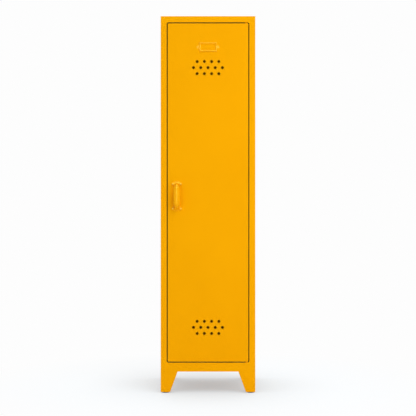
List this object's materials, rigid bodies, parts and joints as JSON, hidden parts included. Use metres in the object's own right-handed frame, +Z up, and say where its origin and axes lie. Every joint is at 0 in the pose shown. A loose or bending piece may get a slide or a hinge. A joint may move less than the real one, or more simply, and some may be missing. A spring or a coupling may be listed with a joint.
{
  "type": "metal locker",
  "caption": "Tall sheet-metal clothes locker on tapered corner legs; hinged flush door with round vents, pull handle and label holder, hat shelf and hanging rail inside.",
  "frame": {"origin": "on the floor at the middle of the whole outline, handle included", "axes": "+Z up, the door faces -Y, +X to the right of someone facing the door"},
  "size_m": [0.452, 0.484, 1.8],
  "materials": {
    "casing_paint": "satin powder coat",
    "door_paint": "satin powder coat",
    "handle_paint": "semi-gloss powder coat",
    "label_paint": "satin powder coat",
    "leg_paint": "satin powder coat",
    "zinc_steel": "zinc plated",
    "screw_steel": "yellow passivated zinc",
    "rivet_metal": "dull, painted over with the door",
    "rail_chrome": "polished",
    "bush_plastic": "moulded nylon",
    "catch_plastic": "moulded",
    "magnet": "dull ferrite",
    "buffer_rubber": "matte",
    "glide_rubber": "matte"
  },
  "bodies": {
    "carcass": {"front_frame": "casing_paint", "left_side_panel": "casing_paint", "right_side_panel": "casing_paint", "back_panel": "casing_paint", "top_panel": "casing_paint", "floor_panel": "casing_paint", "front_left_leg": "leg_paint", "front_left_gusset": "leg_paint", "front_left_glide": "glide_rubber", "front_right_leg": "leg_paint", "front_right_gusset": "leg_paint", "front_right_glide": "glide_rubber", "rear_right_leg": "leg_paint", "rear_right_gusset": "leg_paint", "rear_right_glide": "glide_rubber", "rear_left_leg": "leg_paint", "rear_left_gusset": "leg_paint", "rear_left_glide": "glide_rubber", "leg_bolts": "zinc_steel", "leg_nuts": "zinc_steel", "hat_shelf": "casing_paint", "left_shelf_bracket": "casing_paint", "right_shelf_bracket": "casing_paint", "hanging_rail": "rail_chrome", "left_rail_socket": "rail_chrome", "right_rail_socket": "rail_chrome", "upper_hinge_pin": "casing_paint", "lower_hinge_pin": "casing_paint", "catch_housing": "catch_plastic", "catch_magnet": "magnet", "catch_screws": "zinc_steel", "door_buffers": "buffer_rubber"},
    "door": {"door_skin": "door_paint", "door_stiffener": "door_paint", "upper_pivot_block": "door_paint", "lower_pivot_block": "door_paint", "upper_hinge_bush": "bush_plastic", "lower_hinge_bush": "bush_plastic", "pull_handle": "handle_paint", "handle_screws": "screw_steel", "handle_nuts": "zinc_steel", "label_holder": "label_paint", "label_rivets": "rivet_metal", "strike_plate": "zinc_steel"}
  },
  "joints": [
    {"name": "door_hinge", "type": "hinge", "parent": "carcass", "child": "door", "pos_m": [0.185, -0.2, 0.9575], "axis": [0, 0, 1], "range_deg": [0, 110]}
  ]
}
